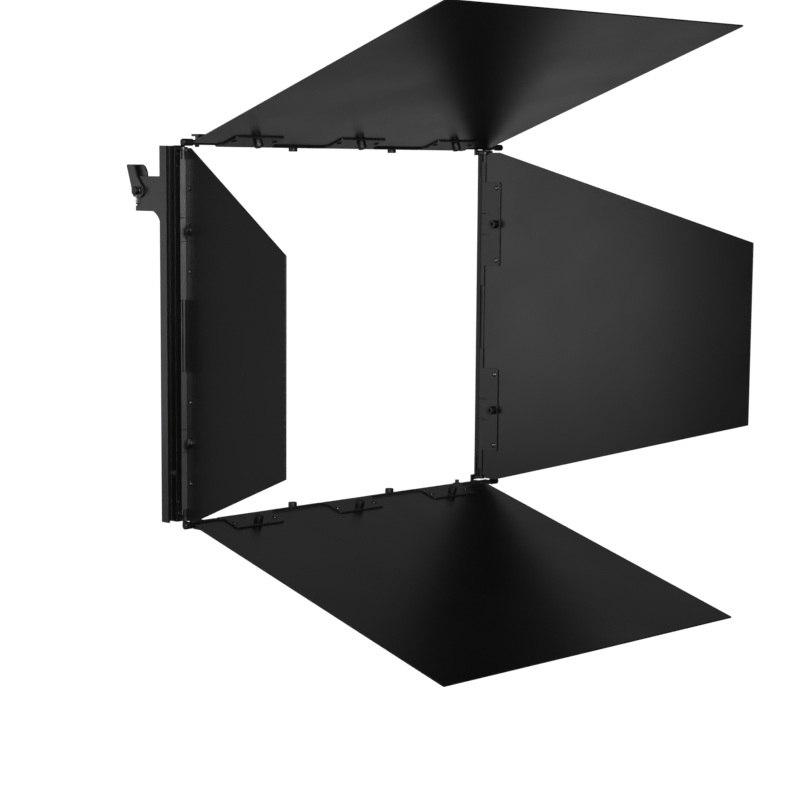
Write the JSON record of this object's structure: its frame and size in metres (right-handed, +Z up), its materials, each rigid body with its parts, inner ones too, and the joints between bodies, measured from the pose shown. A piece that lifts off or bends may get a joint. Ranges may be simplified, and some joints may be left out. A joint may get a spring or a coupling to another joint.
{
  "type": "barn door attachment",
  "caption": "Barn door attachment for a soft-light panel: black sheet leaves on friction-hinged rods round a rectangular slide-on frame, with a sprung safety latch.",
  "frame": {"origin": "centre of the four rail screw holes, on the plane of the rails that lies on the lamp", "axes": "+Z up, +X to the right seen from in front of the lamp, +Y from the beam side towards the lamp; the leaves open towards -Y"},
  "size_m": [0.5354, 0.3681, 0.5258],
  "materials": {
    "leaf_coating": "matte black powder coat with a fine grain on aluminium sheet",
    "strap_coating": "matte black powder coat on folded steel",
    "rail_coating": "satin black anodised aluminium section",
    "bracket_coating": "satin black coating on steel",
    "lever_coating": "satin dark grey coating on folded steel",
    "rod_steel": "black-finished steel rod with a soft shine",
    "black_screw": "black oxide steel fastener",
    "rivet_metal": "black rivet with a worn, shiny dome",
    "catch_steel": "black oxide hardened steel",
    "spring_wire": "bright spring wire"
  },
  "bodies": {
    "frame": {"side_rail_left": "rail_coating", "side_rail_right": "rail_coating", "top_bar": "rail_coating", "bottom_bar": "rail_coating", "corner_screws": "black_screw", "latch_pivot": "black_screw", "latch_spring": "spring_wire", "corner_plate_top_left": "bracket_coating", "corner_plate_top_right": "bracket_coating", "corner_plate_bottom_left": "bracket_coating", "corner_plate_bottom_right": "bracket_coating", "hinge_rod_top": "rod_steel", "hinge_rod_bottom": "rod_steel", "hinge_rod_left": "rod_steel", "hinge_rod_right": "rod_steel", "rod_holders_top": "bracket_coating", "rod_end_lugs_top": "bracket_coating", "rod_cap_top": "black_screw", "holder_screws_top": "black_screw", "corner_tab_screws_top": "black_screw", "rod_holders_bottom": "bracket_coating", "rod_end_lugs_bottom": "bracket_coating", "rod_cap_bottom": "black_screw", "holder_screws_bottom": "black_screw", "corner_tab_screws_bottom": "black_screw"},
    "latch": {"latch_lever": "lever_coating", "latch_catch": "catch_steel"},
    "leaf_top": {"leaf_sheet_top": "leaf_coating", "hinge_plates_top": "strap_coating", "hinge_rivets_top": "rivet_metal", "tension_screws_top": "black_screw", "tension_washers_top": "black_screw", "tension_nuts_top": "black_screw"},
    "leaf_bottom": {"leaf_sheet_bottom": "leaf_coating", "hinge_plates_bottom": "strap_coating", "hinge_rivets_bottom": "rivet_metal", "tension_screws_bottom": "black_screw", "tension_washers_bottom": "black_screw", "tension_nuts_bottom": "black_screw"},
    "leaf_left": {"leaf_sheet_left": "leaf_coating", "hinge_plates_left": "strap_coating", "hinge_rivets_left": "rivet_metal", "tension_screws_left": "black_screw", "tension_washers_left": "black_screw", "tension_nuts_left": "black_screw"},
    "leaf_right": {"leaf_sheet_right": "leaf_coating", "hinge_plates_right": "strap_coating", "hinge_rivets_right": "rivet_metal", "tension_screws_right": "black_screw", "tension_washers_right": "black_screw", "tension_nuts_right": "black_screw"}
  },
  "joints": [
    {"name": "top_hinge", "type": "hinge", "parent": "frame", "child": "leaf_top", "pos_m": [0, -0.017, 0.166], "axis": [-1, 0, 0], "range_deg": [-49.3, 70.7]},
    {"name": "bottom_hinge", "type": "hinge", "parent": "frame", "child": "leaf_bottom", "pos_m": [0, -0.017, -0.166], "axis": [1, 0, 0], "range_deg": [-46.3, 73.7]},
    {"name": "left_hinge", "type": "hinge", "parent": "frame", "child": "leaf_left", "pos_m": [-0.1903, -0.013, 0], "axis": [0, 0, -1], "range_deg": [-114.9, 64.1]},
    {"name": "right_hinge", "type": "hinge", "parent": "frame", "child": "leaf_right", "pos_m": [0.1903, -0.013, 0], "axis": [0, 0, 1], "range_deg": [-85.9, 87.1]},
    {"name": "latch_turn", "type": "hinge", "parent": "frame", "child": "latch", "pos_m": [-0.2075, 0.0267, 0.1245], "axis": [1, 0, 0], "range_deg": [0, 15], "stiffness_Nm_per_rad": 0.15, "springref_deg": -20.05}
  ]
}
